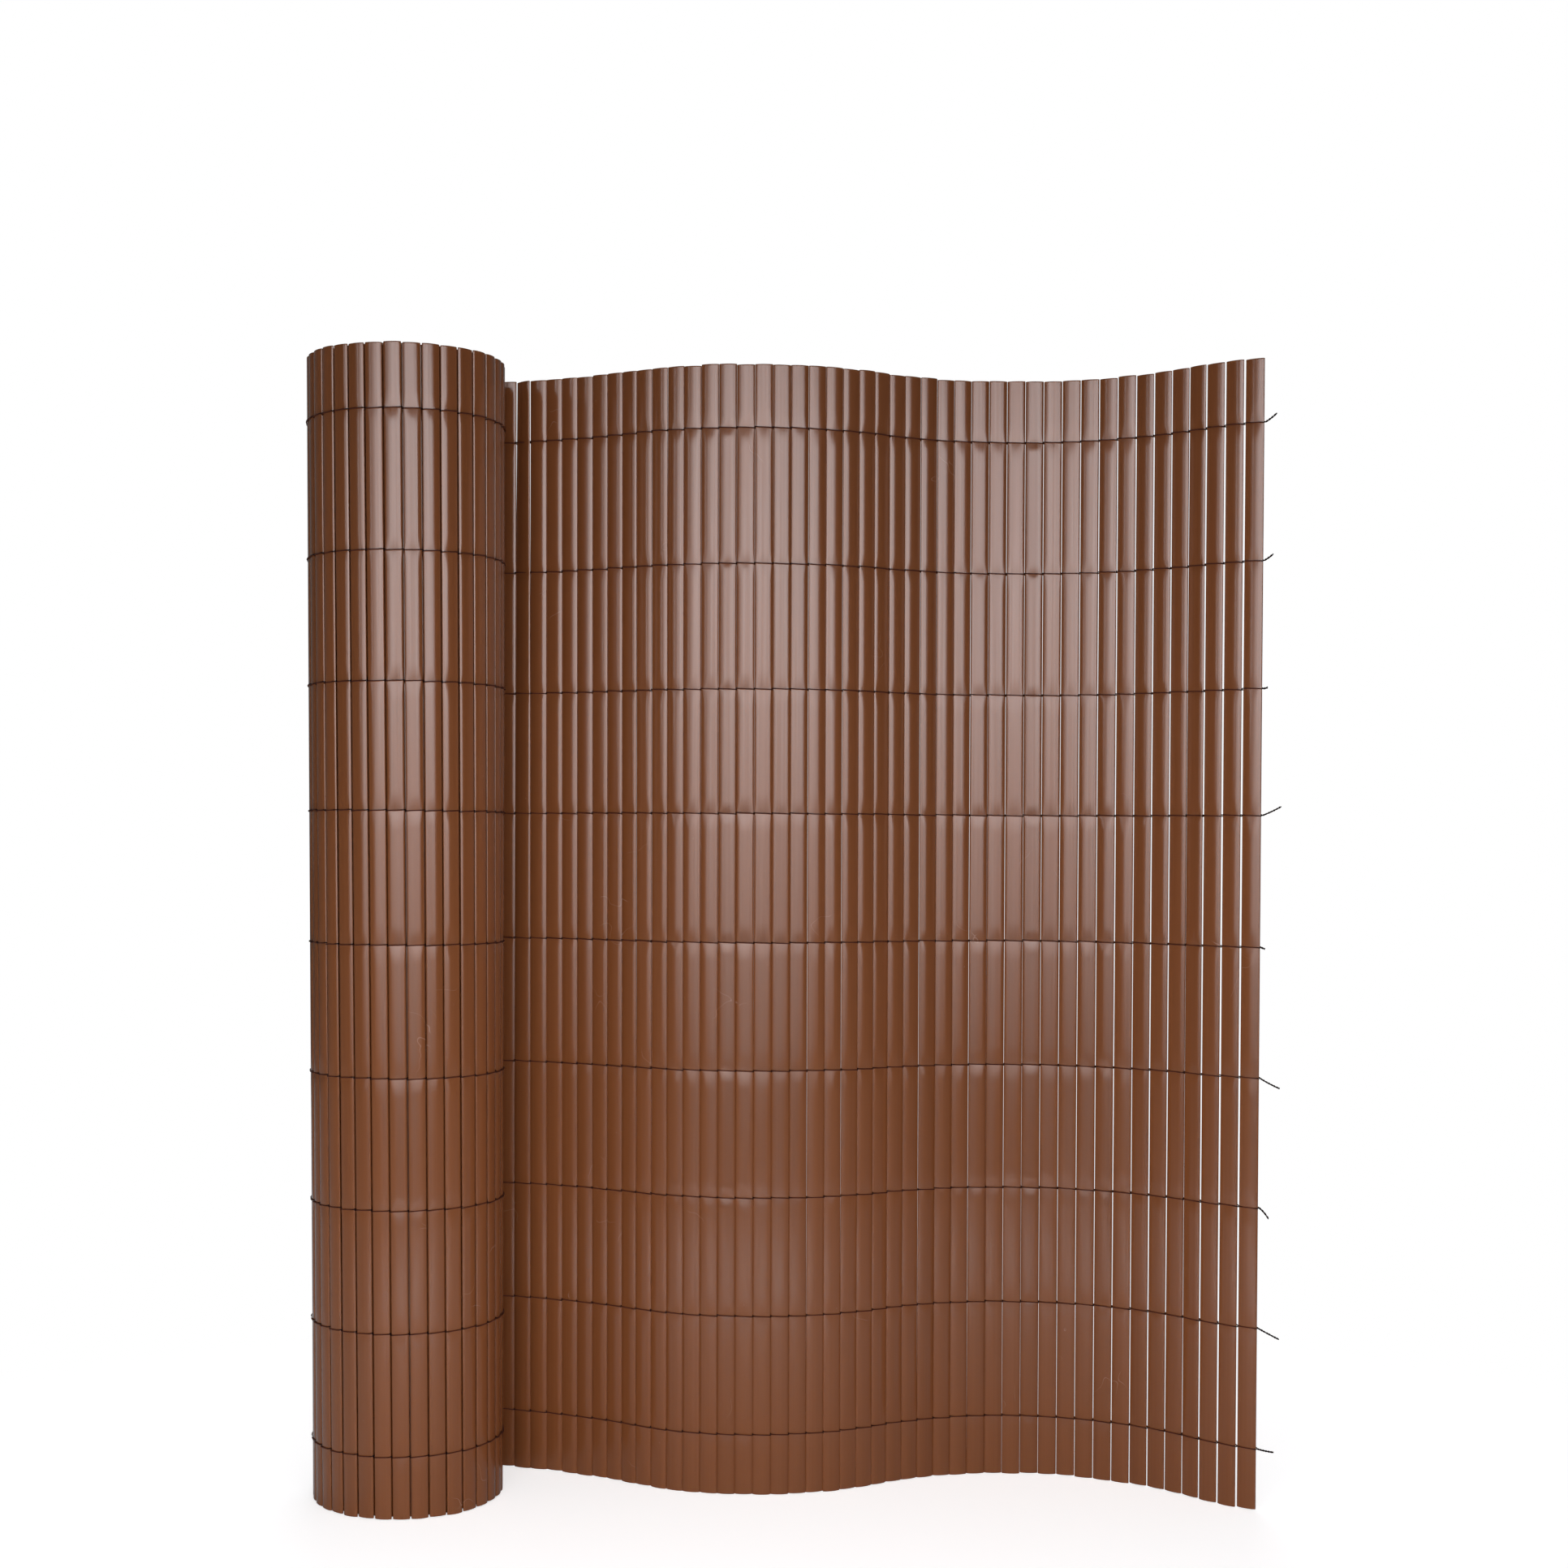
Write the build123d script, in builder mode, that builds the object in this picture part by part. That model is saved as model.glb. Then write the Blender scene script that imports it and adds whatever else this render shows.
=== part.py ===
"""PVC privacy screen mat standing upright, with one end still rolled and the rest opened out in a wave.

Millimetres, +Z up, the viewed face towards -Y, the roll on the left and the free edge on the right.
"""
import os

from build123d import *

# Slats
SLAT_HEIGHT = 900.0
SLAT_WIDTH = 14.0
SLAT_THICKNESS = 4.0
SLAT_WALL = 0.6
FACE_RISE = 0.85
FACE_MIDDLE = 4.6
EDGE_SLOPE = 1.15
EDGE_FLAT = 1.0
SHEET_SLATS = 49
ROLL_SLATS = 159
PITCH = 14.2
PITCH_SPREAD = 2.4
TILT = 2.5

# Roll, measured at the middle of the mat's thickness
ROLL_X = -302.5
ROLL_Y = 0.2
ROLL_RADIUS = 76.0
TURN_PITCH = 6.4
LEAVE_ANGLE = 4.5
HALF_TURNS = 13
NOTCH_DEPTH = 1.6
RIDGE = 7.0

# Wave of the opened part, as radius and turn of each arc, counter-clockwise turns positive
WAVE = ((385.0, -27.0), (188.0, 64.0), (198.0, -77.5), (212.0, 20.0))

# Tie wires: height of each row, then reach and rise of its free tail
WIRE = 1.0
WIRE_CLEARANCE = 0.45
ROLL_WIRE_SLATS = 33
WIRE_ROWS = (
    (48.0, 13.0, -2.0),
    (142.0, 16.5, -7.0),
    (236.0, 7.5, -6.0),
    (337.0, 15.5, -8.5),
    (439.0, 3.0, -1.0),
    (542.0, 15.0, 5.5),
    (641.0, 3.5, 0.5),
    (741.0, 7.0, 3.5),
    (849.0, 9.0, 4.5),
)

os.makedirs("parts", exist_ok=True)

# The line of the opened part starts where the mat leaves the back of the roll
leave_point = Vector(0, ROLL_RADIUS).rotate(Axis.Z, -LEAVE_ANGLE) + Vector(ROLL_X, ROLL_Y)
leave_heading = Vector(1, 0).rotate(Axis.Z, -LEAVE_ANGLE)
with BuildLine() as sheet_line:
    point = leave_point
    heading = leave_heading
    for radius, turn in WAVE:
        bend = JernArc(start=point, tangent=heading, radius=radius, arc_size=turn)
        point = bend @ 1
        heading = bend % 1

# The line of the roll runs inwards from the same point, one half turn after another
with BuildLine() as roll_line:
    point = leave_point
    heading = -leave_heading
    for half_turn in range(HALF_TURNS):
        sweep_angle = 180.0 + LEAVE_ANGLE if half_turn == 0 else 180.0
        radius = ROLL_RADIUS - half_turn * TURN_PITCH / 2
        bend = JernArc(start=point, tangent=heading, radius=radius, arc_size=sweep_angle)
        point = bend @ 1
        heading = bend % 1

sheet_wire = sheet_line.wire()
roll_wire = roll_line.wire()


def sheet_distance(number):
    """Distance of a sheet slat's centre along the mat; the gaps open up towards the free edge."""
    distance = PITCH / 2
    for step in range(number):
        distance += PITCH + PITCH_SPREAD * ((step + 1) / SHEET_SLATS) ** 4
    return distance


def roll_plane(distance):
    """Plane on the roll's line, x along the mat to the free edge and y away from the roll's axis."""
    spot = roll_wire.position_at(distance, PositionMode.LENGTH)
    along = roll_wire.tangent_at(distance, PositionMode.LENGTH)
    return Plane(origin=spot, x_dir=-along, z_dir=(0, 0, 1))


def slat_plane(number):
    """Plane of one slat, numbered from 0 at the first sheet slat, with the roll's slats below 0."""
    if number < 0:
        return roll_plane(-PITCH * (number + 0.5))
    distance = sheet_distance(number)
    spot = sheet_wire.position_at(distance, PositionMode.LENGTH)
    along = sheet_wire.tangent_at(distance, PositionMode.LENGTH)
    return Plane(origin=spot, x_dir=along, z_dir=(0, 0, 1))


def tilt_of(number):
    """Small turn of each loose slat about its own length, repeating every seven slats."""
    return TILT * ((number * 3) % 7 - 3) / 3


half_width = SLAT_WIDTH / 2
half_thick = SLAT_THICKNESS / 2
face_end = half_width - EDGE_SLOPE
face_low = half_thick - FACE_RISE
hollow_width = half_width - 2 * SLAT_WALL
hollow_end = hollow_width - EDGE_SLOPE
hollow_thick = face_low - SLAT_WALL / 2
ridge_end = RIDGE / 2

# Hollow slats of the opened part
for number in range(SHEET_SLATS):
    name = f"slat_{number + 1:02d}"
    with BuildPart() as slat:
        with BuildSketch(slat_plane(number).rotated((0, 0, tilt_of(number)))):
            with BuildLine():
                quarter = (
                    (FACE_MIDDLE / 2, half_thick),
                    (face_end, face_low),
                    (half_width, EDGE_FLAT / 2),
                )
                right = [*quarter, *[(x, -y) for x, y in reversed(quarter)]]
                left = [(-x, -y) for x, y in right]
                Polyline(*right, *left, close=True)
            make_face()
            with BuildLine():
                Polyline(
                    (-hollow_end, hollow_thick),
                    (hollow_end, hollow_thick),
                    (hollow_width, 0),
                    (hollow_end, -hollow_thick),
                    (-hollow_end, -hollow_thick),
                    (-hollow_width, 0),
                    close=True,
                )
            make_face(mode=Mode.SUBTRACT)
        extrude(amount=SLAT_HEIGHT)
    slat.part.label = name
    export_step(slat.part, f"parts/{name}.step")

# Rolled turns: one spiral wall, a ridge for each slat on its outer side
with BuildPart() as rolled_turns:
    with BuildSketch():
        with BuildLine():
            first = slat_plane(-1)
            last = slat_plane(-ROLL_SLATS)
            outer = first.from_local_coords((half_width, EDGE_FLAT / 2))
            inner = first.from_local_coords((half_width, -face_low))
            Line(inner, outer)
            for number in range(1, ROLL_SLATS + 1):
                place = slat_plane(-number)
                joint = roll_plane(PITCH * number)
                near = place.from_local_coords((ridge_end, half_thick))
                far = place.from_local_coords((-ridge_end, half_thick))
                notch = joint.from_local_coords((0, half_thick - NOTCH_DEPTH))
                if number == ROLL_SLATS:
                    notch = last.from_local_coords((-half_width, EDGE_FLAT / 2))
                Polyline(outer, near, far, notch)
                outer = notch
            for number in range(1, ROLL_SLATS + 1):
                next_inner = roll_plane(PITCH * number).from_local_coords((0, -half_thick))
                if number == ROLL_SLATS:
                    next_inner = last.from_local_coords((-half_width, -face_low))
                Line(inner, next_inner)
                inner = next_inner
            Line(inner, outer)
        make_face()
    extrude(amount=SLAT_HEIGHT)
rolled_turns.part.label = "rolled_turns"
export_step(rolled_turns.part, "parts/rolled_turns.step")


def strand_points(first, side, height, reach, rise):
    """Bends of one strand: straight over two slats at a time, then past the last slat into its tail."""
    lift = side * (half_thick + WIRE / 2 + WIRE_CLEARANCE)
    crests = [slat_plane(number).from_local_coords((0, lift)) for number in range(first, SHEET_SLATS)]
    starts = [1.5 * crests[k] - 0.5 * crests[k + 1] for k in range(0, len(crests) - 1, 2)]
    ends = [1.5 * crests[k + 1] - 0.5 * crests[k] for k in range(0, len(crests) - 1, 2)]
    bends = [starts[0]]
    for k in range(1, len(starts)):
        bends.append((ends[k - 1] + starts[k]) * 0.5)
    edge = slat_plane(SHEET_SLATS - 1)
    beside = side * 0.4 * WIRE
    bends.append(edge.from_local_coords((half_width, lift)))
    bends.append(edge.from_local_coords((half_width + 2 * WIRE, beside)))
    bends.append(edge.from_local_coords((half_width + 2 * WIRE + reach, beside, rise)))
    return [bend + Vector(0, 0, height) for bend in bends]


# Tie wires: one strand runs round the roll and on behind the sheet, the other over the sheet's viewed face
for row, (height, reach, rise) in enumerate(WIRE_ROWS, start=1):
    name = f"tie_wire_{row}"
    with BuildPart() as tie_wire:
        for first, side in ((-ROLL_WIRE_SLATS, 1), (1, -1)):
            with BuildLine():
                strand = Polyline(*strand_points(first, side, height, reach, rise))
            with BuildSketch(Plane(origin=strand @ 0, x_dir=(0, 0, 1), z_dir=strand % 0)):
                Rectangle(WIRE, WIRE)
            sweep(path=strand, transition=Transition.RIGHT)
    tie_wire.part.label = name
    export_step(tie_wire.part, f"parts/{name}.step")
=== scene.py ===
"""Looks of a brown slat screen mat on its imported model: slats, roll, twined wires and the studio."""
import math

import bpy
import numpy as np
from bpy.props import FloatProperty, FloatVectorProperty, IntProperty, PointerProperty
from mathutils import Matrix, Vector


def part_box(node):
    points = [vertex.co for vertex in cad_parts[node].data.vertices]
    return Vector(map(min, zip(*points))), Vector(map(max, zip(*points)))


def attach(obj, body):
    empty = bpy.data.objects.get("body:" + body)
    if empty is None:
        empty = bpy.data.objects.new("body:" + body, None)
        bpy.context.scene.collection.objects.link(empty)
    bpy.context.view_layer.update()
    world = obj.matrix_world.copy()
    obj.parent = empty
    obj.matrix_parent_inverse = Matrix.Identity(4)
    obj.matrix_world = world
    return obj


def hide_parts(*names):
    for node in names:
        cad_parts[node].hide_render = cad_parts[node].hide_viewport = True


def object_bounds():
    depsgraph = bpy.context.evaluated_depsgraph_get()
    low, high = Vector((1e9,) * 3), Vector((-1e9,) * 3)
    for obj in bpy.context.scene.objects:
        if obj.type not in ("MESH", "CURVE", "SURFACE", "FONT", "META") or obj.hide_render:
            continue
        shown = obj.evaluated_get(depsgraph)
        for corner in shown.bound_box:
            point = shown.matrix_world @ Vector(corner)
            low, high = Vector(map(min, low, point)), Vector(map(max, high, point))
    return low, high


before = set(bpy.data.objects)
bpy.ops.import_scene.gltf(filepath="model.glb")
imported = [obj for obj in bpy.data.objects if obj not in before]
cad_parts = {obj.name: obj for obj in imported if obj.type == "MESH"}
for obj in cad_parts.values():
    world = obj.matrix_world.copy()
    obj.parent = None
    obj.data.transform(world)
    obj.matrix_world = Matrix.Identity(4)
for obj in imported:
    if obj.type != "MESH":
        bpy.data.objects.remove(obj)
CAD_BOX = [list(corner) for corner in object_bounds()]
MM = 0.001
SLAT_NODES = sorted(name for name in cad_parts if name.startswith("slat_"))
WIRE_NODES = sorted(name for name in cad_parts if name.startswith("tie_wire_"))
SLAT_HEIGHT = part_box("slat_01")[1][2]
ROLL_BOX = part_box("rolled_turns")

bl_info = {
    "name": "Slat Screen Mat",
    "version": (1, 0, 0),
    "blender": (4, 5, 0),
    "location": "View3D > Sidebar > Screen Mat",
    "description": "Builds a part-rolled slat screen mat with twined wires and its studio",
    "category": "Add Mesh",
}

# Wave of the opened part, as radius in millimetres and turn in degrees of each arc
WAVE = ((385.0, -27.0), (188.0, 64.0), (198.0, -77.5), (212.0, 20.0))
# Half turns of the roll's spiral after its first one
HALF_TURNS = 12
# First slats of the sheet that still follow the lean of the roll, and the first that grow wider again
LEANING_SLATS = 7
WIDENING_FROM = 15
# Share of the height at which the roll keeps its radius, and at which fanned slats keep their places
ROLL_PIVOT = 0.45
FAN_PIVOT = 0.4
# How closely a slat's outline crowds its points at the tight edges
EDGE_CROWDING = 1.25
# Share of the sheet's small turns that the roll's slats have, and of a slat's bow that goes sideways
ROLL_TILT = 0.7
SIDE_BOW = 0.1
# Slat that stands askew beside the roll
ODD_SLAT = 5
# Sides of a wire's tube, and the painted shade at each point of a strand: full in the gap where the strands
# cross and at the slat's edges, fading out across the slat's face
WIRE_SIDES = 6
TWIST_SHADE = (1.0, 1.0, 0.5, 0.0, 0.0, 0.0, 0.3, 1.0)
# Thickness of the solids' wires, gap under a wire and its wander, in metres
WIRE_SOLID = 0.001
WIRE_GAP = 0.00004
WIRE_WANDER = 0.00025
# Points along a tail, where it starts past a slat's edge and the length of one twist, in metres
TAIL_POINTS = 12
TAIL_START = 0.0012
TAIL_TWIST = 0.0042
# Share of a slat's half width, of a wire's lift and of its rise at each bend of a strand across a slat
STRAND_ACROSS = np.array([-1.0, -0.86, -0.45, 0.0, 0.45, 0.86, 1.0])
STRAND_OUT = np.array([0.42, 0.86, 0.985, 1.0, 0.985, 0.86, 0.42])
STRAND_RISE = np.array([0.75, 0.45, 0.12, -0.05, -0.22, -0.5, -0.75])
# Rounding of a slat's cut end in metres, and most that the cut slopes across it
END_ROUNDING = 0.00012
CUT_SLOPE = 0.02
# Reach and rise of each row's free tail in millimetres, and how far its end hooks over
TAILS = (
    (13.0, -2.0, 1.2),
    (16.5, -7.0, 0.4),
    (7.5, -4.5, -3.2),
    (15.5, -8.5, 1.5),
    (3.0, -1.0, 0.0),
    (15.0, 5.5, 1.4),
    (3.5, 0.5, 0.3),
    (7.0, 3.5, 1.0),
    (9.0, 4.5, 1.5),
)


class SlatSettings(bpy.types.PropertyGroup):
    """Sizes of the slats and of the line that the mat follows."""

    width: FloatProperty(name="Width", description="Across one slat", default=0.0142, unit="LENGTH")
    roll_width: FloatProperty(
        name="Width in the roll", description="Across a rolled slat", default=0.0132, unit="LENGTH"
    )
    swell: FloatProperty(
        name="Swell", description="Growth in width up to the free edge", default=0.00080, unit="LENGTH"
    )
    snug: FloatProperty(
        name="Snug",
        description="Growth in width where the sheet leaves the roll",
        default=0.0005,
        unit="LENGTH",
    )
    thickness: FloatProperty(
        name="Thickness", description="Through one slat", default=0.004, unit="LENGTH"
    )
    wall: FloatProperty(name="Wall", description="Wall of the hollow slat", default=0.0006, unit="LENGTH")
    pitch: FloatProperty(name="Pitch", description="From slat to slat", default=0.0142, unit="LENGTH")
    spread: FloatProperty(
        name="Spread", description="Growth of the pitch at the free edge", default=0.0024, unit="LENGTH"
    )
    tilt: FloatProperty(
        name="Tilt", description="Turn of a loose slat", default=math.radians(2.5), subtype="ANGLE"
    )
    odd_tilt: FloatProperty(
        name="Odd tilt",
        description="Further turn of the slat beside the roll",
        default=math.radians(-24.0),
        subtype="ANGLE",
    )
    ragged: FloatProperty(
        name="Ragged ends", description="Most that a cut end falls short", default=0.0009, unit="LENGTH"
    )
    bow: FloatProperty(name="Bow", description="Most that a slat bends", default=0.0005, unit="LENGTH")
    fan: FloatProperty(
        name="Fan",
        description="How far the ends of the mat spread from floor to top",
        default=0.0051,
        unit="LENGTH",
    )
    shear: FloatProperty(
        name="Shear",
        description="How far the mat leans sideways from floor to top",
        default=-0.0021,
        unit="LENGTH",
    )


class RollSettings(bpy.types.PropertyGroup):
    """Sizes of the rolled part."""

    radius: FloatProperty(
        name="Radius", description="Middle of the outer turn", default=0.076, unit="LENGTH"
    )
    turn_pitch: FloatProperty(
        name="Turn pitch", description="From turn to turn", default=0.0064, unit="LENGTH"
    )
    leave_angle: FloatProperty(
        name="Leave angle", description="Where the sheet leaves", default=math.radians(4.5), subtype="ANGLE"
    )
    slats: IntProperty(name="Slats", description="Slats in the roll", default=159, min=1)
    outer_slats: IntProperty(name="Outer slats", description="Slats of the outer turn", default=34, min=1)
    cone: FloatProperty(
        name="Cone", description="Growth in radius from floor to top", default=0.045, subtype="FACTOR"
    )
    twist: FloatProperty(
        name="Twist", description="Turn from floor to top", default=math.radians(4.0), subtype="ANGLE"
    )


class WireSettings(bpy.types.PropertyGroup):
    """Sizes of the twined tie wires."""

    diameter: FloatProperty(
        name="Diameter", description="Across one strand", default=0.00090, unit="LENGTH"
    )
    cross: FloatProperty(
        name="Cross", description="Height between strands where they cross", default=0.0012, unit="LENGTH"
    )
    proud: FloatProperty(
        name="Proud",
        description="How far a crossing lies before the slats' middle",
        default=0.0010,
        unit="LENGTH",
    )


class FinishSettings(bpy.types.PropertyGroup):
    """Colours of the mat and of the studio."""

    slat_dark: FloatVectorProperty(
        name="Slat dark", description="Darker brown", default=(0.184, 0.060, 0.0190), subtype="COLOR"
    )
    slat_light: FloatVectorProperty(
        name="Slat light", description="Lighter brown", default=(0.224, 0.076, 0.0265), subtype="COLOR"
    )
    scuff: FloatVectorProperty(
        name="Scuff", description="Pale rubbed plastic", default=(0.34, 0.19, 0.12), subtype="COLOR"
    )
    wire: FloatVectorProperty(
        name="Wire", description="Wire coating", default=(0.080, 0.024, 0.014), subtype="COLOR"
    )
    # Painted shade: darker wire colour put where the strands cross in the shaded gaps and at the slat
    # edges, and also on the whole of each tail
    twist: FloatVectorProperty(
        name="Twist",
        description="Coating at the twists and tails",
        default=(0.012, 0.005, 0.004),
        subtype="COLOR",
    )
    floor: FloatVectorProperty(
        name="Floor", description="Studio floor", default=(0.78, 0.78, 0.78), subtype="COLOR"
    )


class StageSettings(bpy.types.PropertyGroup):
    """Camera and lights."""

    eye_height: FloatProperty(
        name="Eye height", description="Camera above the floor", default=0.521, unit="LENGTH"
    )
    eye_distance: FloatProperty(
        name="Eye distance", description="Camera in front of the roll's axis", default=1.687, unit="LENGTH"
    )
    eye_side: FloatProperty(
        name="Eye side", description="Camera to the side of the middle", default=-0.0045, unit="LENGTH"
    )
    lens: FloatProperty(name="Lens", description="Focal length in millimetres", default=48.45)
    camera_roll: FloatProperty(
        name="Camera roll",
        description="Turn about the view line",
        default=math.radians(0.3),
        subtype="ANGLE",
    )
    shift: FloatProperty(name="Shift", description="Upward shift of the frame", default=0.0357)
    softbox: FloatProperty(name="Softbox", description="Brightness of each front softbox", default=0.92)
    front_fill: FloatProperty(name="Front fill", description="Brightness of the front fill", default=2.1)
    back_fill: FloatProperty(name="Back fill", description="Brightness of the fill behind", default=4.0)
    top_fill: FloatProperty(name="Top fill", description="Brightness of the fill above", default=1.2)
    low_fill: FloatProperty(name="Low fill", description="Brightness of the low front fill", default=8.6)
    strip: FloatProperty(name="Strip", description="Brightness of the narrow left softbox", default=4.0)
    fill: FloatProperty(name="Fill", description="Strength of the room's light in front", default=0.05)
    backdrop: FloatProperty(name="Backdrop", description="Strength of the light from behind", default=0.15)
    floor_glow: FloatProperty(name="Floor glow", description="Lift of the seen floor", default=0.64)


class ScreenMatSettings(bpy.types.PropertyGroup):
    """All settings of the mat."""

    slat: PointerProperty(type=SlatSettings)
    roll: PointerProperty(type=RollSettings)
    wire: PointerProperty(type=WireSettings)
    finish: PointerProperty(type=FinishSettings)
    stage: PointerProperty(type=StageSettings)


def settings():
    return bpy.context.scene.screen_mat


def roll_axis():
    """Plan position of the roll's axis, taken from the solid's box."""
    low, high = ROLL_BOX
    radius = settings().roll.radius + settings().slat.thickness / 2
    return low[0] + radius, low[1] + radius


def follow(arcs, x, y, heading, distance):
    """Walks a distance along tangent arcs of (radius, turn), and gives the point and heading there."""
    for radius, turn in arcs:
        length = radius * abs(turn)
        part = min(distance / length, 1.0)
        side = math.copysign(1.0, turn)
        centre_x = x - side * radius * math.sin(heading)
        centre_y = y + side * radius * math.cos(heading)
        heading += turn * part
        x = centre_x + side * radius * math.sin(heading)
        y = centre_y - side * radius * math.cos(heading)
        distance -= length * part
        if distance <= 0:
            break
    return x, y, heading


def mat_line(distance):
    """Point and heading on the mat's middle line, positive along the sheet and negative into the roll."""
    roll = settings().roll
    centre_x, centre_y = roll_axis()
    leave = roll.leave_angle
    x = centre_x + roll.radius * math.sin(leave)
    y = centre_y + roll.radius * math.cos(leave)
    if distance >= 0:
        arcs = [(radius * MM, math.radians(turn)) for radius, turn in WAVE]
        return follow(arcs, x, y, -leave, distance)
    arcs = [(roll.radius, math.pi + leave)]
    arcs += [(roll.radius - k * roll.turn_pitch / 2, math.pi) for k in range(1, HALF_TURNS + 1)]
    x, y, heading = follow(arcs, x, y, math.pi - leave, -distance)
    return x, y, heading - math.pi


def slat_distance(number):
    """Distance of a slat's centre along the mat, with the roll's slats below 0."""
    slat = settings().slat
    if number < 0:
        return slat.pitch * (number + 0.5)
    steps = (np.arange(number) + 1) / len(SLAT_NODES)
    return slat.pitch * (number + 0.5) + slat.spread * float((steps**4).sum())


def slat_tilt(number):
    """Small turn of each slat, as the solids have it on the sheet and slighter on the roll."""
    share = 1.0 if number >= 0 else ROLL_TILT
    return share * settings().slat.tilt * ((number * 3) % 7 - 3) / 3


def slat_width(number):
    """Width of a slat, a little more along the sheet and a little less where the roll pulls them apart."""
    slat = settings().slat
    if number < 0:
        return slat.roll_width
    if number <= ODD_SLAT + 2:
        return slat.width + slat.snug
    last = len(SLAT_NODES) - 1
    return slat.width + slat.swell * max((number - WIDENING_FROM) / (last - WIDENING_FROM), 0.0)


def lean(points, number, middle):
    """Widens the roll towards its top and twists it, fading out on the sheet, and fans the slats out."""
    amount = 1.0 if number < 0 else max(0.0, 1.0 - (number + 1) / LEANING_SLATS)
    roll, slat = settings().roll, settings().slat
    centre_x, centre_y = roll_axis()
    level = (points[:, 2] / SLAT_HEIGHT - ROLL_PIVOT) * amount
    angle = -roll.twist * level
    grow = 1.0 + roll.cone * level
    dx = (points[:, 0] - centre_x) * grow
    dy = (points[:, 1] - centre_y) * grow
    spread = slat.fan * (centre_x if number < 0 else middle) / CAD_BOX[1][0] + slat.shear
    points[:, 0] = centre_x + dx * np.cos(angle) - dy * np.sin(angle)
    points[:, 0] += spread * (points[:, 2] / SLAT_HEIGHT - FAN_PIVOT)
    points[:, 1] = centre_y + dx * np.sin(angle) + dy * np.cos(angle)
    return points


def place(local, number, tilt=0.0):
    """Moves points of (across, out, up) from a slat's own axes to the mat."""
    x, y, heading = mat_line(slat_distance(number))
    heading = heading + tilt
    points = np.empty_like(local)
    points[:, 0] = x + local[:, 0] * np.cos(heading) - local[:, 1] * np.sin(heading)
    points[:, 1] = y + local[:, 0] * np.sin(heading) + local[:, 1] * np.cos(heading)
    points[:, 2] = local[:, 2]
    return lean(points, number, x)


def slat_section(half_width, half_thick, steps):
    """Flat oval outline, counter-clockwise, with more points on the tight edges."""
    quarter = np.linspace(0.0, 1.0, steps + 1)[:-1]
    turn = math.pi / 2 * np.concatenate([quarter**EDGE_CROWDING, 2 - (1 - quarter) ** EDGE_CROWDING])
    turn = np.concatenate([turn, turn + math.pi])
    return np.stack([half_width * np.cos(turn), half_thick * np.sin(turn)], 1)


def slat_body(number, levels, steps, chance):
    """Points, faces, across values and tone of one hollow slat."""
    slat = settings().slat
    half = slat_width(number) / 2
    outer = slat_section(half, slat.thickness / 2, steps)
    inner = outer * (1 - slat.wall / half, 1 - 2 * slat.wall / slat.thickness)
    count = len(outer)
    low = chance.uniform(0.0, slat.ragged)
    high = SLAT_HEIGHT - chance.uniform(0.0, slat.ragged)
    cut = chance.uniform(-CUT_SLOPE, CUT_SLOPE, 2)
    bow = chance.uniform(-slat.bow, slat.bow, 2)
    tone = chance.uniform()
    points, across = [], []
    heights = low + (high - low) * np.asarray(levels)
    rows = len(heights)
    for ring, shrink in ((outer, 1.0), (inner, 0.0)):
        for row, height in enumerate(heights):
            end = row in (0, rows - 1)
            pull = END_ROUNDING * shrink if end else 0.0
            size = 1.0 - pull / (slat.thickness / 2)
            level = (height - low) / (high - low)
            bend = 4.0 * level * (1.0 - level)
            local = np.empty((count, 3))
            local[:, 0] = ring[:, 0] * (1.0 - pull / half) + SIDE_BOW * bow[0] * bend
            local[:, 1] = ring[:, 1] * size + bow[1] * bend
            skew = cut[0] * (1 - level) + cut[1] * level if level in (0.0, 1.0) else 0.0
            local[:, 2] = height - abs(skew) * half * math.copysign(1, level - 0.5) + skew * ring[:, 0]
            points.append(local)
            across.append(ring[:, 0] / half)
    points = np.vstack(points)
    step = np.arange(count)
    after = (step + 1) % count
    faces = []
    for row in range(rows - 1):
        a, b = row * count, (row + 1) * count
        faces.append(np.stack([a + step, a + after, b + after, b + step], 1))
        a, b = (rows + row) * count, (rows + row + 1) * count
        faces.append(np.stack([a + step, b + step, b + after, a + after], 1))
    hollow_bottom = rows * count
    faces.append(np.stack([step, hollow_bottom + step, hollow_bottom + after, after], 1))
    top, hollow_top = (rows - 1) * count, (2 * rows - 1) * count
    faces.append(np.stack([top + step, top + after, hollow_top + after, hollow_top + step], 1))
    tilt = np.full(len(points), slat_tilt(number))
    if number == ODD_SLAT:
        tilt += slat.odd_tilt * (points[:, 2] / SLAT_HEIGHT) ** 3
    return place(points, number, tilt), np.vstack(faces), np.concatenate(across), tone


def make_piece(name, points, faces, material, values):
    """Mesh object with smooth faces and named point values for its material."""
    mesh = bpy.data.meshes.new(name)
    mesh.from_pydata(points, [], faces)
    mesh.polygons.foreach_set("use_smooth", np.ones(len(mesh.polygons), bool))
    for label, numbers in values.items():
        layer = mesh.attributes.new(label, "FLOAT", "POINT")
        layer.data.foreach_set("value", np.asarray(numbers, np.float32))
    mesh.materials.append(material)
    mesh.update()
    piece = bpy.data.objects.new(name, mesh)
    bpy.context.collection.objects.link(piece)
    return piece


def make_slats(name, numbers, levels, steps, seed):
    """One piece of many slats."""
    chance = np.random.default_rng(seed)
    points, faces, across, tones = [], [], [], []
    total = 0
    for number in numbers:
        body, quads, side, tone = slat_body(number, levels, steps, chance)
        points.append(body)
        faces.append(quads + total)
        across.append(side)
        tones.append(np.full(len(body), tone))
        total += len(body)
    values = {"across": np.concatenate(across), "slat_tone": np.concatenate(tones)}
    return make_piece(name, np.vstack(points).tolist(), np.vstack(faces).tolist(), slat_plastic(), values)


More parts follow.
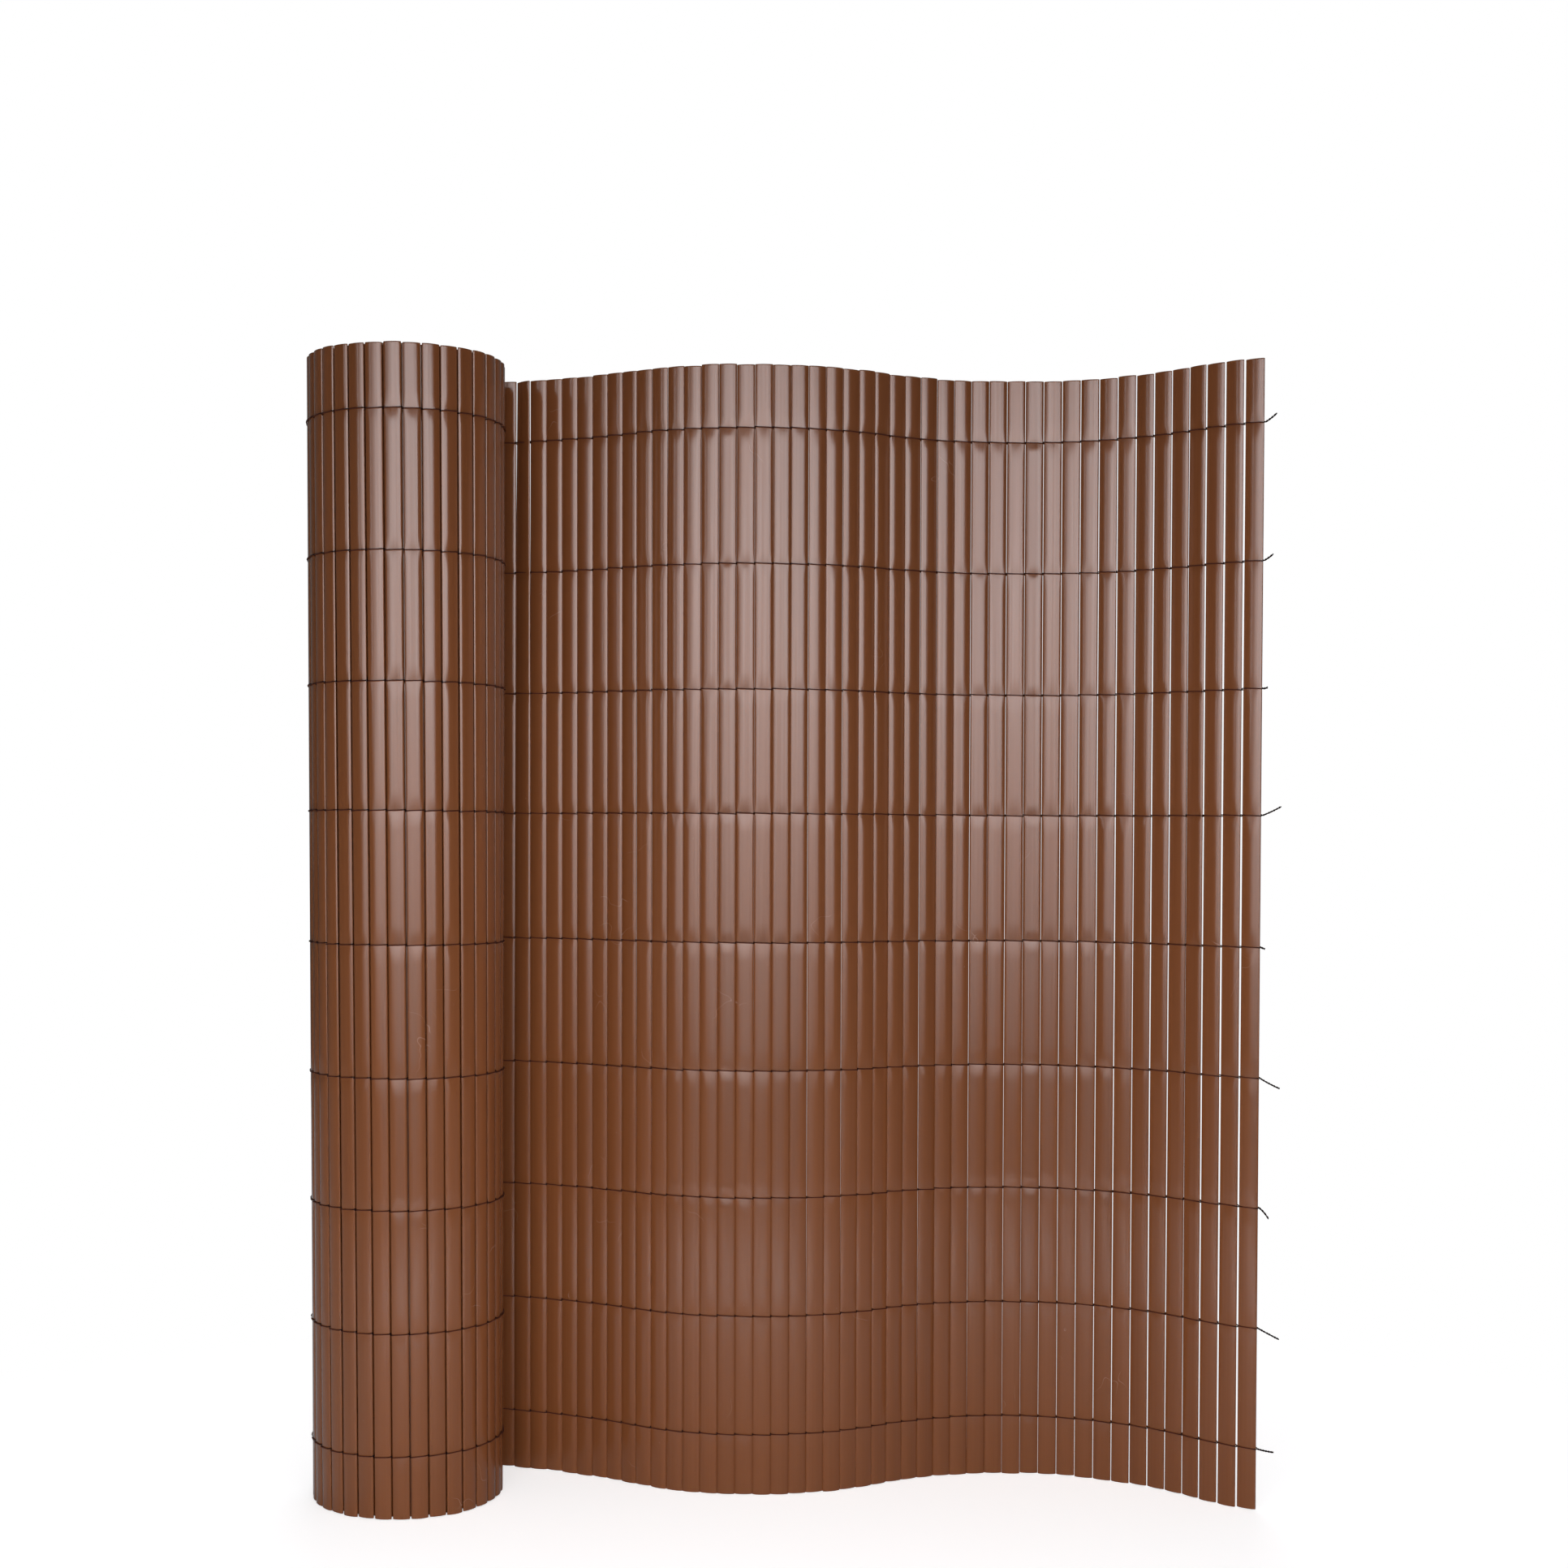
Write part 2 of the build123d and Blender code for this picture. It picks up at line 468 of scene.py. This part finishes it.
def wire_height(row):
    """Height of one wire row, at the end of its solid's box that the tail doesn't reach."""
    low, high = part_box(WIRE_NODES[row])
    rise = TAILS[row][1]
    return (high[2] if rise < 0 else low[2]) + math.copysign(WIRE_SOLID / 2, rise)


def strand_path(row_height, numbers, phase, chance):
    """Middle line of one strand, before every second slat and behind the others, crossing in each gap."""
    slat, wire = settings().slat, settings().wire
    rest = slat.thickness / 2 + wire.diameter / 2 + WIRE_GAP
    path = []
    for number in numbers:
        half = slat_width(number) / 2
        side = 1.0 if (number + phase) % 2 == 0 else -1.0
        facing = math.copysign(1.0, -number - 0.5)
        rise = wire.cross / 2 * side * facing
        wander = chance.uniform(-WIRE_WANDER, WIRE_WANDER)
        gap = 0.5 * (slat_distance(number) + slat_distance(number - 1))
        x, y, heading = mat_line(gap)
        proud = wire.proud * facing
        cross = (x - proud * math.sin(heading), y + proud * math.cos(heading), row_height + rise)
        path.append(lean(np.array([cross]), number, x)[0])
        across = STRAND_ACROSS * half
        out = STRAND_OUT * rest * side
        up = row_height + STRAND_RISE * rise + wander
        path.extend(place(np.stack([across, out, up], 1), number, slat_tilt(number)))
    return path


def tail_path(row, row_height, phase):
    """Free end of one strand past the last slat, twisted about its fellow."""
    reach, rise, hook = (value * MM for value in TAILS[row])
    slat, wire = settings().slat, settings().wire
    last = len(SLAT_NODES) - 1
    points = []
    for share in np.linspace(0.0, 1.0, TAIL_POINTS):
        turn = share * reach / TAIL_TWIST * 2 * math.pi + phase * math.pi
        out = 0.5 * wire.diameter * math.cos(turn)
        up = row_height + rise * share + hook * share**2 + 0.5 * wire.diameter * math.sin(turn)
        points.append((slat.width / 2 + TAIL_START + reach * share, out, up))
    return list(place(np.array(points), last, slat_tilt(last)))


def wire_tube(path, radius):
    """Closed round tube along a path."""
    path, sides = np.array(path), WIRE_SIDES
    tangent = np.gradient(path, axis=0)
    tangent /= np.linalg.norm(tangent, axis=1)[:, None]
    up = np.array([0.0, 0.0, 1.0])
    out = np.cross(tangent, up)
    out /= np.linalg.norm(out, axis=1)[:, None]
    top = np.cross(out, tangent)
    rings = []
    for turn in np.arange(sides) * 2 * math.pi / sides:
        rings.append(path + radius * (math.cos(turn) * out + math.sin(turn) * top))
    points = np.stack(rings, 1).reshape(-1, 3)
    step = np.arange(sides)
    after = (step + 1) % sides
    faces = []
    for row in range(len(path) - 1):
        a, b = row * sides, (row + 1) * sides
        faces.append(np.stack([a + step, b + step, b + after, a + after], 1))
    faces = np.vstack(faces).tolist()
    faces.append(list(step))
    faces.append(list((len(path) - 1) * sides + step[::-1]))
    return points, faces


def node_group(name, inputs, outputs):
    """Empty shader group with named value inputs and outputs."""
    group = bpy.data.node_groups.new(name, "ShaderNodeTree")
    for label, value in inputs:
        socket = group.interface.new_socket(label, in_out="INPUT", socket_type="NodeSocketFloat")
        socket.default_value = value
    for label in outputs:
        group.interface.new_socket(label, in_out="OUTPUT", socket_type="NodeSocketFloat")
    return group, group.nodes.new("NodeGroupInput"), group.nodes.new("NodeGroupOutput")


def math_node(tree, kind, *values, clamp=False):
    """Math node on sockets or plain numbers, and gives its output."""
    node = tree.nodes.new("ShaderNodeMath")
    node.operation = kind
    node.use_clamp = clamp
    for slot, value in zip(node.inputs, values):
        if isinstance(value, bpy.types.NodeSocket):
            tree.links.new(value, slot)
        else:
            slot.default_value = value
    return node.outputs[0]


def noise_node(tree, vector, scale, detail, roughness=0.5):
    """Noise texture on a vector socket, and gives its value output."""
    node = tree.nodes.new("ShaderNodeTexNoise")
    node.inputs["Scale"].default_value = scale
    node.inputs["Detail"].default_value = detail
    node.inputs["Roughness"].default_value = roughness
    tree.links.new(vector, node.inputs["Vector"])
    return node.outputs[0]


def bump_node(tree, height, strength, distance, normal=None):
    """Bump of a height socket on top of an earlier normal, and gives the new normal."""
    node = tree.nodes.new("ShaderNodeBump")
    node.inputs["Strength"].default_value = strength
    node.inputs["Distance"].default_value = distance
    tree.links.new(height, node.inputs["Height"])
    if normal is not None:
        tree.links.new(normal, node.inputs["Normal"])
    return node.outputs[0]


def stretch(tree, vector, scale):
    """Scales a vector socket along each axis."""
    node = tree.nodes.new("ShaderNodeVectorMath")
    node.operation = "MULTIPLY"
    node.inputs[1].default_value = scale
    tree.links.new(vector, node.inputs[0])
    return node.outputs[0]


def spread_values(tree, value, low, high, to_low, to_high):
    """Maps a value from one range to another, clamped."""
    node = tree.nodes.new("ShaderNodeMapRange")
    for slot, number in zip(node.inputs[1:5], (low, high, to_low, to_high)):
        slot.default_value = number
    tree.links.new(value, node.inputs[0])
    return node.outputs[0]


def extrusion_lines():
    """Fine lines that the die leaves along each slat, from its across value and tone."""
    if "extrusion lines" in bpy.data.node_groups:
        return bpy.data.node_groups["extrusion lines"]
    group, start, end = node_group(
        "extrusion lines", (("Across", 0.0), ("Tone", 0.5)), ("Height", "Shade", "Gloss")
    )
    split = group.nodes.new("ShaderNodeSeparateXYZ")
    group.links.new(group.nodes.new("ShaderNodeTexCoord").outputs["Object"], split.inputs[0])
    join = group.nodes.new("ShaderNodeCombineXYZ")
    tone = start.outputs["Tone"]
    group.links.new(math_node(group, "MULTIPLY_ADD", start.outputs["Across"], 2.6, 0.5), join.inputs[0])
    group.links.new(math_node(group, "MULTIPLY", tone, 53.0), join.inputs[1])
    group.links.new(math_node(group, "MULTIPLY", split.outputs[2], 0.9), join.inputs[2])
    fine = noise_node(group, join.outputs[0], 4.0, 2.0, 0.6)
    broad = noise_node(group, join.outputs[0], 2.2, 1.0)
    side = math_node(group, "ABSOLUTE", start.outputs["Across"])
    groove = math_node(group, "SUBTRACT", side, 0.70)
    groove = spread_values(group, math_node(group, "ABSOLUTE", groove), 0.0, 0.05, 0.0, 1.0)
    height = math_node(group, "MULTIPLY_ADD", fine, 0.6, math_node(group, "MULTIPLY", groove, 0.4))
    group.links.new(height, end.inputs["Height"])
    group.links.new(broad, end.inputs["Shade"])
    group.links.new(spread_values(group, fine, 0.42, 0.62, 0.0, 0.32), end.inputs["Gloss"])
    return group


def wire_pinches():
    """Shallow hollow in a slat's face where each wire row draws it in, deeper on some than others."""
    if "wire pinches" in bpy.data.node_groups:
        return bpy.data.node_groups["wire pinches"]
    group, start, end = node_group("wire pinches", (("Across", 0.0), ("Tone", 0.5)), ("Height",))
    split = group.nodes.new("ShaderNodeSeparateXYZ")
    group.links.new(group.nodes.new("ShaderNodeTexCoord").outputs["Object"], split.inputs[0])
    nearest = 1.0
    for row in range(len(WIRE_NODES)):
        away = math_node(group, "SUBTRACT", split.outputs[2], wire_height(row))
        nearest = math_node(group, "MINIMUM", math_node(group, "ABSOLUTE", away), nearest)
    reach = math_node(group, "MULTIPLY_ADD", start.outputs["Tone"], 0.009, 0.009)
    close = math_node(group, "SUBTRACT", 1.0, math_node(group, "DIVIDE", nearest, reach), clamp=True)
    share = math_node(group, "FRACT", math_node(group, "MULTIPLY", start.outputs["Tone"], 7.3))
    share = math_node(group, "MULTIPLY_ADD", share, 0.6, 0.4)
    drawn = math_node(group, "MULTIPLY", math_node(group, "POWER", close, 2.0), share)
    face = math_node(group, "POWER", math_node(group, "ABSOLUTE", start.outputs["Across"]), 2.0)
    hollow = math_node(group, "MULTIPLY", math_node(group, "SUBTRACT", face, 1.0), drawn)
    group.links.new(hollow, end.inputs["Height"])
    return group


def satin_grain():
    """Very fine dimpling of moulded plastic, with broader patches of gloss."""
    if "satin grain" in bpy.data.node_groups:
        return bpy.data.node_groups["satin grain"]
    group, start, end = node_group("satin grain", (("Size", 1.0),), ("Height", "Patch"))
    spot = group.nodes.new("ShaderNodeTexCoord").outputs["Object"]
    scaled = group.nodes.new("ShaderNodeVectorMath")
    scaled.operation = "SCALE"
    group.links.new(spot, scaled.inputs[0])
    group.links.new(start.outputs["Size"], scaled.inputs["Scale"])
    group.links.new(noise_node(group, scaled.outputs[0], 1400.0, 2.0), end.inputs["Height"])
    patch = noise_node(group, stretch(group, scaled.outputs[0], (1, 1, 0.35)), 26.0, 3.0)
    group.links.new(patch, end.inputs["Patch"])
    return group


def handling_marks():
    """Sparse hair scratches and rubbed specks from handling."""
    if "handling marks" in bpy.data.node_groups:
        return bpy.data.node_groups["handling marks"]
    group, start, end = node_group("handling marks", (("Amount", 1.0),), ("Mask",))
    spot = group.nodes.new("ShaderNodeTexCoord").outputs["Object"]
    curl = noise_node(group, spot, 34.0, 1.5)
    edge = math_node(group, "ABSOLUTE", math_node(group, "SUBTRACT", curl, 0.5))
    hair = spread_values(group, edge, 0.0, 0.004, 1.0, 0.0)
    where = spread_values(group, noise_node(group, spot, 19.0, 1.0), 0.66, 0.70, 0.0, 1.0)
    speck = spread_values(group, noise_node(group, spot, 420.0, 1.0), 0.80, 0.84, 0.0, 1.0)
    both = math_node(group, "MULTIPLY_ADD", speck, 0.5, math_node(group, "MULTIPLY", hair, where))
    mask = math_node(group, "MULTIPLY", both, start.outputs["Amount"], clamp=True)
    group.links.new(mask, end.inputs["Mask"])
    return group


def add_group(tree, group):
    node = tree.nodes.new("ShaderNodeGroup")
    node.node_tree = group
    return node


def mix_colour(tree, mask, first, second):
    """Mix of two colours, each a socket or a plain colour, by a mask socket."""
    node = tree.nodes.new("ShaderNodeMix")
    node.data_type = "RGBA"
    tree.links.new(mask, node.inputs["Factor"])
    for slot, value in ((node.inputs[6], first), (node.inputs[7], second)):
        if isinstance(value, bpy.types.NodeSocket):
            tree.links.new(value, slot)
        else:
            slot.default_value = (*value, 1.0)
    return node.outputs[2]


def point_value(tree, label):
    node = tree.nodes.new("ShaderNodeAttribute")
    node.attribute_name = label
    return node.outputs["Fac"]


def new_material(name):
    material = bpy.data.materials.new(name)
    material.use_nodes = True
    return material, material.node_tree, material.node_tree.nodes["Principled BSDF"]


def slat_plastic():
    """Satin brown plastic with die lines, gloss patches and a few marks."""
    if "slat plastic" in bpy.data.materials:
        return bpy.data.materials["slat plastic"]
    finish = settings().finish
    material, tree, shader = new_material("slat plastic")
    tone = point_value(tree, "slat_tone")
    lines = add_group(tree, extrusion_lines())
    pinches = add_group(tree, wire_pinches())
    across = point_value(tree, "across")
    for node in (lines, pinches):
        tree.links.new(across, node.inputs["Across"])
        tree.links.new(tone, node.inputs["Tone"])
    grain = add_group(tree, satin_grain())
    marks = add_group(tree, handling_marks())
    streak = math_node(tree, "MULTIPLY", lines.outputs["Shade"], 0.55)
    blend = math_node(tree, "MULTIPLY_ADD", tone, 0.45, streak, clamp=True)
    colour = mix_colour(tree, blend, finish.slat_dark, finish.slat_light)
    rubbed = math_node(tree, "MULTIPLY", marks.outputs["Mask"], 0.35)
    colour = mix_colour(tree, rubbed, colour, finish.scuff)
    tree.links.new(colour, shader.inputs["Base Color"])
    rough = spread_values(tree, grain.outputs["Patch"], 0.3, 0.7, 0.14, 0.19)
    rough = math_node(tree, "MULTIPLY_ADD", marks.outputs["Mask"], 0.2, rough)
    tree.links.new(rough, shader.inputs["Roughness"])
    tree.links.new(lines.outputs["Gloss"], shader.inputs["Coat Weight"])
    shader.inputs["Coat Roughness"].default_value = 0.12
    shader.inputs["IOR"].default_value = 1.5
    normal = bump_node(tree, pinches.outputs["Height"], 1.0, 0.0010)
    normal = bump_node(tree, grain.outputs["Height"], 0.10, 0.0002, normal)
    normal = bump_node(tree, lines.outputs["Height"], 0.14, 0.0003, normal)
    tree.links.new(normal, shader.inputs["Normal"])
    return material


def wire_coating():
    """Dark brown coated wire, a little dull and rubbed, with painted shade where the strands cross in the
    gaps.
    """
    if "wire coating" in bpy.data.materials:
        return bpy.data.materials["wire coating"]
    finish = settings().finish
    material, tree, shader = new_material("wire coating")
    marks = add_group(tree, handling_marks())
    marks.inputs["Amount"].default_value = 0.8
    grain = add_group(tree, satin_grain())
    # Painted shade: the wire takes the dark twist colour where the strands cross in the gaps and at the
    # slat edges, and along the tails
    colour = mix_colour(tree, point_value(tree, "twist"), finish.wire, finish.twist)
    rubbed = math_node(tree, "MULTIPLY", marks.outputs["Mask"], 0.5)
    colour = mix_colour(tree, rubbed, colour, finish.slat_dark)
    tree.links.new(colour, shader.inputs["Base Color"])
    shader.inputs["Specular IOR Level"].default_value = 0.05
    rough = spread_values(tree, grain.outputs["Patch"], 0.3, 0.7, 0.50, 0.65)
    tree.links.new(rough, shader.inputs["Roughness"])
    tree.links.new(bump_node(tree, grain.outputs["Height"], 0.2, 0.0001), shader.inputs["Normal"])
    return material


class SCREENMAT_OT_sheet_slats(bpy.types.Operator):
    """Builds the hollow slats of the opened part"""

    bl_idname = "screen_mat.sheet_slats"
    bl_label = "Sheet Slats"

    def execute(self, context):
        levels = (0.0, 0.0004, 0.0010, 0.16, 0.33, 0.5, 0.67, 0.84, 0.9990, 0.9996, 1.0)
        piece = make_slats("sheet_slats", range(len(SLAT_NODES)), levels, steps=10, seed=11)
        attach(piece, "root")
        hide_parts(*SLAT_NODES)
        return {"FINISHED"}


class SCREENMAT_OT_roll(bpy.types.Operator):
    """Builds the slats of the rolled part, the outer turn finer than the inner ones"""

    bl_idname = "screen_mat.roll"
    bl_label = "Roll"

    def execute(self, context):
        roll = settings().roll
        levels = (0.0, 0.0004, 0.0010, 0.25, 0.5, 0.75, 0.9990, 0.9996, 1.0)
        numbers = range(-roll.outer_slats, 0)
        outer = make_slats("roll_outer_turn", numbers, levels, steps=10, seed=23)
        levels = (0.0, 0.0005, 0.0012, 0.5, 0.9988, 0.9995, 1.0)
        numbers = range(-roll.slats, -roll.outer_slats)
        inner = make_slats("roll_inner_turns", numbers, levels, steps=6, seed=31)
        for piece in (outer, inner):
            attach(piece, "root")
            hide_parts("rolled_turns")
        return {"FINISHED"}


class SCREENMAT_OT_tie_wires(bpy.types.Operator):
    """Twines two strands round the slats in each row, with their tails"""

    bl_idname = "screen_mat.tie_wires"
    bl_label = "Tie Wires"

    def execute(self, context):
        chance = np.random.default_rng(seed=5)
        wire = settings().wire
        points, faces, twist_shades, total = [], [], [], 0
        numbers = range(1 - settings().roll.outer_slats, len(SLAT_NODES))
        dark = np.tile(TWIST_SHADE, len(numbers))
        for row in range(len(WIRE_NODES)):
            height = wire_height(row)
            for phase in (0, 1):
                path = strand_path(height, numbers, phase, chance)
                tail = tail_path(row, height, phase)
                tube, quads = wire_tube(path + tail, wire.diameter / 2)
                points.append(tube)
                # Painted shade: each point's share of the dark twist colour, full in the gaps and at slat
                # edges and along the whole tail
                twist_shades.append(np.repeat(np.concatenate([dark, np.ones(len(tail))]), WIRE_SIDES))
                faces += [[corner + total for corner in quad] for quad in quads]
                total += len(tube)
        values = {"twist": np.concatenate(twist_shades)}
        piece = make_piece("tie_wires", np.vstack(points).tolist(), faces, wire_coating(), values)
        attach(piece, "root")
        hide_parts(*WIRE_NODES)
        return {"FINISHED"}


class SCREENMAT_OT_stage(bpy.types.Operator):
    """Sets up the pale floor, the softboxes and the camera"""

    bl_idname = "screen_mat.stage"
    bl_label = "Stage"

    def execute(self, context):
        scene, stage = context.scene, settings().stage
        scene.view_settings.view_transform = "Standard"
        self.floor(settings().finish.floor, stage.floor_glow)
        self.world(scene, stage.fill, stage.backdrop)
        self.stack(stage.softbox)
        self.shine("left strip", (-1.95, -1.9, 1.15), (0.18, 0.9), stage.strip, math.radians(-42.0))
        self.fill("front fill", (0.0, -2.3, 0.87), (1.8, 1.36), stage.front_fill, 0.0)
        self.fill("low fill", (-0.1, -1.05, 0.24), (1.0, 0.3), stage.low_fill, 0.0)
        self.fill("back fill", (0.0, 2.6, 1.0), (2.4, 1.6), stage.back_fill, math.pi)
        self.fill("top fill", (0.0, -0.2, 2.6), (2.4, 1.8), stage.top_fill, 0.0, 0.0)
        self.camera(scene, stage)
        return {"FINISHED"}

    def floor(self, colour, lift):
        """Plain floor that is seen white away from the mat and keeps the mat's shadow near it."""
        mesh = bpy.data.meshes.new("studio_floor")
        mesh.from_pydata([(-30, -30, 0), (30, -30, 0), (30, 30, 0), (-30, 30, 0)], [], [(0, 1, 2, 3)])
        material, tree, shader = new_material("studio floor")
        shader.inputs["Base Color"].default_value = (*colour, 1.0)
        shader.inputs["Roughness"].default_value = 0.9
        shader.inputs["Specular IOR Level"].default_value = 0.0
        glow = tree.nodes.new("ShaderNodeEmission")
        glow.inputs["Strength"].default_value = lift
        near = tree.nodes.new("ShaderNodeAddShader")
        tree.links.new(shader.outputs[0], near.inputs[0])
        tree.links.new(glow.outputs[0], near.inputs[1])
        far = tree.nodes.new("ShaderNodeEmission")
        spot = tree.nodes.new("ShaderNodeTexCoord").outputs["Object"]
        away = tree.nodes.new("ShaderNodeVectorMath")
        away.operation = "LENGTH"
        tree.links.new(stretch(tree, spot, (1.0, 1.6, 0.0)), away.inputs[0])
        seen_floor = tree.nodes.new("ShaderNodeMixShader")
        fade = spread_values(tree, away.outputs["Value"], 0.45, 0.95, 0.0, 1.0)
        tree.links.new(fade, seen_floor.inputs[0])
        tree.links.new(near.outputs[0], seen_floor.inputs[1])
        tree.links.new(far.outputs[0], seen_floor.inputs[2])
        pick = tree.nodes.new("ShaderNodeMixShader")
        tree.links.new(tree.nodes.new("ShaderNodeLightPath").outputs["Is Camera Ray"], pick.inputs[0])
        tree.links.new(shader.outputs[0], pick.inputs[1])
        tree.links.new(seen_floor.outputs[0], pick.inputs[2])
        tree.links.new(pick.outputs[0], tree.nodes["Material Output"].inputs["Surface"])
        mesh.materials.append(material)
        floor = bpy.data.objects.new("studio_floor", mesh)
        bpy.context.collection.objects.link(floor)

    def world(self, scene, fill, backdrop):
        """White where the camera sees it, dim in front of the mat and brighter behind it."""
        world = bpy.data.worlds.new("studio")
        world.use_nodes = True
        tree = world.node_tree
        back = tree.nodes["Background"]
        split = tree.nodes.new("ShaderNodeSeparateXYZ")
        tree.links.new(tree.nodes.new("ShaderNodeTexCoord").outputs["Generated"], split.inputs[0])
        room = spread_values(tree, split.outputs[1], 0.2, 0.7, fill, backdrop)
        seen = tree.nodes.new("ShaderNodeLightPath").outputs["Is Camera Ray"]
        tree.links.new(math_node(tree, "MAXIMUM", room, seen), back.inputs["Strength"])
        back.inputs["Color"].default_value = (1.0, 1.0, 1.0, 1.0)
        scene.world = world

    def softbox(self, name, spot, size, brightness, turn, tip=math.pi / 2):
        """Area lamp turned to the mat, upright unless tipped, its power found from how bright it looks."""
        lamp = bpy.data.lights.new(name, "AREA")
        lamp.shape = "RECTANGLE"
        lamp.size, lamp.size_y = size
        lamp.energy = brightness * math.pi * size[0] * size[1]
        lamp.color = (0.965, 0.965, 1.0)
        box = bpy.data.objects.new(name, lamp)
        box.location = spot
        box.rotation_euler = (tip, 0.0, turn)
        bpy.context.collection.objects.link(box)
        return box

    def stack(self, brightness):
        """Softboxes one before another, each smaller than the last, so that the reflection fades down."""
        top = 1.55
        for layer in range(6):
            low = 0.12 + 0.14 * layer
            left = -2.1 + 0.24 * layer
            right = 2.0 - 0.1 * layer
            spot = ((left + right) / 2, -2.3 + 0.014 * layer, (top + low) / 2)
            self.shine(f"softbox {layer + 1}", spot, (right - left, top - low), brightness, 0.0)

    def shine(self, *lamp):
        """Softbox that only shows in reflections."""
        self.softbox(*lamp).visible_diffuse = False

    def fill(self, *lamp):
        """Softbox that lights the mat without a reflection of its own."""
        box = self.softbox(*lamp)
        box.visible_glossy = False
        box.visible_camera = False

    def camera(self, scene, stage):
        """Level camera at the photograph's viewpoint, its frame shifted up a little."""
        view = bpy.data.cameras.new("camera")
        view.sensor_width = 36.0
        view.lens = stage.lens
        view.shift_y = stage.shift
        eye = bpy.data.objects.new("camera", view)
        turn = Matrix.Rotation(math.pi / 2, 4, "X") @ Matrix.Rotation(stage.camera_roll, 4, "Z")
        spot = Matrix.Translation((stage.eye_side, -stage.eye_distance, stage.eye_height))
        eye.matrix_world = spot @ turn
        bpy.context.collection.objects.link(eye)
        scene.camera = eye


class SCREENMAT_PT_sidebar(bpy.types.Panel):
    """Lists the steps that build the mat"""

    bl_idname = "SCREENMAT_PT_sidebar"
    bl_label = "Screen Mat"
    bl_space_type = "VIEW_3D"
    bl_region_type = "UI"
    bl_category = "Screen Mat"

    def draw(self, context):
        for step in STEPS:
            self.layout.operator(step.bl_idname)
        for part in ("slat", "roll", "wire", "finish", "stage"):
            group = getattr(context.scene.screen_mat, part)
            column = self.layout.column(align=True)
            for label in group.__annotations__:
                column.prop(group, label)


STEPS = (SCREENMAT_OT_sheet_slats, SCREENMAT_OT_roll, SCREENMAT_OT_tie_wires, SCREENMAT_OT_stage)
CLASSES = (
    SlatSettings,
    RollSettings,
    WireSettings,
    FinishSettings,
    StageSettings,
    ScreenMatSettings,
    *STEPS,
    SCREENMAT_PT_sidebar,
)


def register():
    for entry in CLASSES:
        bpy.utils.register_class(entry)
    bpy.types.Scene.screen_mat = PointerProperty(type=ScreenMatSettings)


def unregister():
    del bpy.types.Scene.screen_mat
    for entry in reversed(CLASSES):
        bpy.utils.unregister_class(entry)


def main():
    register()
    bpy.ops.screen_mat.sheet_slats()
    bpy.ops.screen_mat.roll()
    bpy.ops.screen_mat.tie_wires()
    bpy.ops.screen_mat.stage()


if __name__ == "__main__":
    main()
